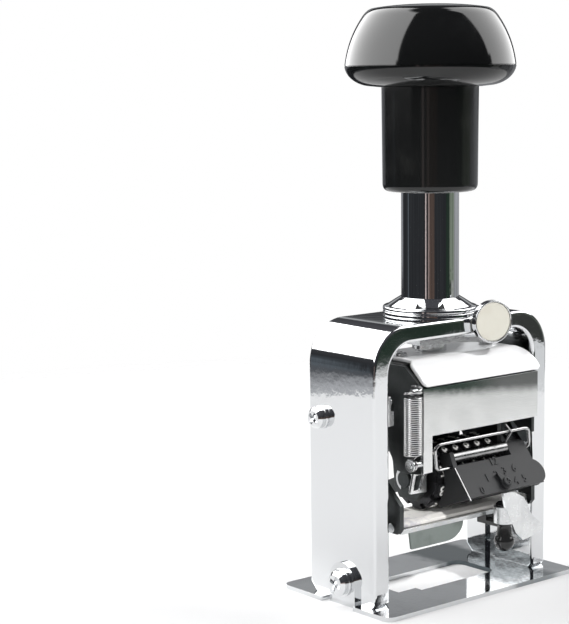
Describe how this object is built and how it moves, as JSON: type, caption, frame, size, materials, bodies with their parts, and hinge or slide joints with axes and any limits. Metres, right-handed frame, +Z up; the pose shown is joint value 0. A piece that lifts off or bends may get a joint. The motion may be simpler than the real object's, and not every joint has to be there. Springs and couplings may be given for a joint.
{
  "type": "numbering machine",
  "caption": "Hand-pressed self-inking numbering stamp: chrome arch frame on a windowed base, black knob on a sprung column, head with type wheels and a swinging ink pad.",
  "frame": {"origin": "centre of the base plate's underside", "axes": "+X along the base to the right as the user sees it, -Y towards the user, +Z up the column"},
  "size_m": [0.0808, 0.051, 0.1756],
  "materials": {
    "chrome": "polished",
    "base_chrome": "polished",
    "steel": "satin",
    "dark_steel": "dark blued",
    "zinc": "fine sandblasted",
    "cap_chrome": "polished",
    "knob_black": "glossy",
    "sleeve_black": "glossy",
    "matte_black": "matte",
    "grip_black": "satin",
    "wheel_dark": "satin",
    "bronze": "satin",
    "brass": "satin",
    "nylon": "matte",
    "spring_steel": "drawn wire",
    "felt": "dense felt",
    "tab_green": "satin",
    "cream": "enamel"
  },
  "bodies": {
    "base_frame": {"base_plate": "base_chrome", "base_screws": "chrome", "base_washers": "chrome", "frame": "chrome", "column_tube": "chrome", "column_collar": "chrome", "column_bush": "bronze", "return_spring": "spring_steel", "pad_pivot_screws": "chrome", "pad_pivot_bosses": "chrome", "pad_pivot_spacers": "steel", "pad_pivot_clips": "steel", "advance_lug": "steel", "lock_pin": "steel"},
    "plunger": {"knob": "knob_black", "knob_insert": "brass", "knob_sleeve": "sleeve_black", "sleeve_bush": "nylon", "plunger_rod": "steel", "spring_cap": "steel", "head_yoke": "dark_steel", "yoke_screws": "steel", "head_cap": "cap_chrome", "head_front_plate": "zinc", "head_side_left": "dark_steel", "head_side_right": "dark_steel", "head_back_plate": "dark_steel", "index_bracket": "steel", "wheel_shaft": "steel", "shaft_clips": "steel", "detent_bar": "dark_steel", "detent_comb": "spring_steel", "selector_block": "matte_black", "stylus_bar": "dark_steel", "wire_bail": "spring_steel", "pawl_spring": "spring_steel", "spring_pins": "steel", "spring_pin_clip": "steel"},
    "advance_pawl": {"pawl_frame": "dark_steel", "pawl_rod": "steel", "pawl_comb": "steel"},
    "selector": {"selector_pointer": "matte_black", "pointer_screw": "matte_black"},
    "pad_carrier": {"arm_left": "dark_steel", "arm_right": "dark_steel", "pad_tray": "steel", "felt_pad": "felt", "finger_tab": "tab_green", "tray_rivets": "steel", "release_post": "grip_black"},
    "release": {"release_lever": "zinc"},
    "lock": {"lock_lever": "steel", "lock_disc": "cream"},
    "wheel_1": {"number_wheel_1": "wheel_dark"},
    "wheel_2": {"number_wheel_2": "wheel_dark"},
    "wheel_3": {"number_wheel_3": "wheel_dark"},
    "wheel_4": {"number_wheel_4": "wheel_dark"},
    "wheel_5": {"number_wheel_5": "wheel_dark"},
    "wheel_6": {"number_wheel_6": "wheel_dark"}
  },
  "joints": [
    {"name": "press", "type": "slide", "parent": "base_frame", "child": "plunger", "axis": [0, 0, -1], "range_m": [0, 0.0248], "stiffness_N_per_m": 320, "springref_m": -0.03, "deforming": ["return_spring"]},
    {"name": "pawl_stroke", "type": "hinge", "parent": "plunger", "child": "advance_pawl", "pos_m": [0, -0.004, 0.0347], "axis": [1, 0, 0], "range_deg": [0, 40.2]},
    {"name": "dial_turn", "type": "hinge", "parent": "plunger", "child": "selector", "pos_m": [0.0085, -0.02327, 0.03311], "axis": [0, -0.7902, 0.6129], "range_deg": [-55, 55]},
    {"name": "pad_swing", "type": "hinge", "parent": "base_frame", "child": "pad_carrier", "pos_m": [0, 0.0088, 0.0547], "axis": [1, 0, 0], "range_deg": [0, 101.2]},
    {"name": "release_turn", "type": "hinge", "parent": "pad_carrier", "child": "release", "pos_m": [0.0106, -0.0212, 0.023], "axis": [0, 0, 1], "range_deg": [0, 40]},
    {"name": "lock_turn", "type": "hinge", "parent": "base_frame", "child": "lock", "pos_m": [-0.01, -0.007, 0.0765], "axis": [0, 0, 1], "range_deg": [-12, 0]},
    {"name": "wheel_1_turn", "type": "hinge", "parent": "plunger", "child": "wheel_1", "pos_m": [0, -0.004, 0.0347], "axis": [1, 0, 0], "continuous": true},
    {"name": "wheel_2_turn", "type": "hinge", "parent": "plunger", "child": "wheel_2", "pos_m": [0, -0.004, 0.0347], "axis": [1, 0, 0], "continuous": true},
    {"name": "wheel_3_turn", "type": "hinge", "parent": "plunger", "child": "wheel_3", "pos_m": [0, -0.004, 0.0347], "axis": [1, 0, 0], "continuous": true},
    {"name": "wheel_4_turn", "type": "hinge", "parent": "plunger", "child": "wheel_4", "pos_m": [0, -0.004, 0.0347], "axis": [1, 0, 0], "continuous": true},
    {"name": "wheel_5_turn", "type": "hinge", "parent": "plunger", "child": "wheel_5", "pos_m": [0, -0.004, 0.0347], "axis": [1, 0, 0], "continuous": true},
    {"name": "wheel_6_turn", "type": "hinge", "parent": "plunger", "child": "wheel_6", "pos_m": [0, -0.004, 0.0347], "axis": [1, 0, 0], "continuous": true}
  ],
  "couplings": [
    {"joint": "pad_swing", "follows": "press", "rad_per_m": 71.08},
    {"joint": "pawl_stroke", "follows": "press", "rad_per_m": 28.151}
  ]
}
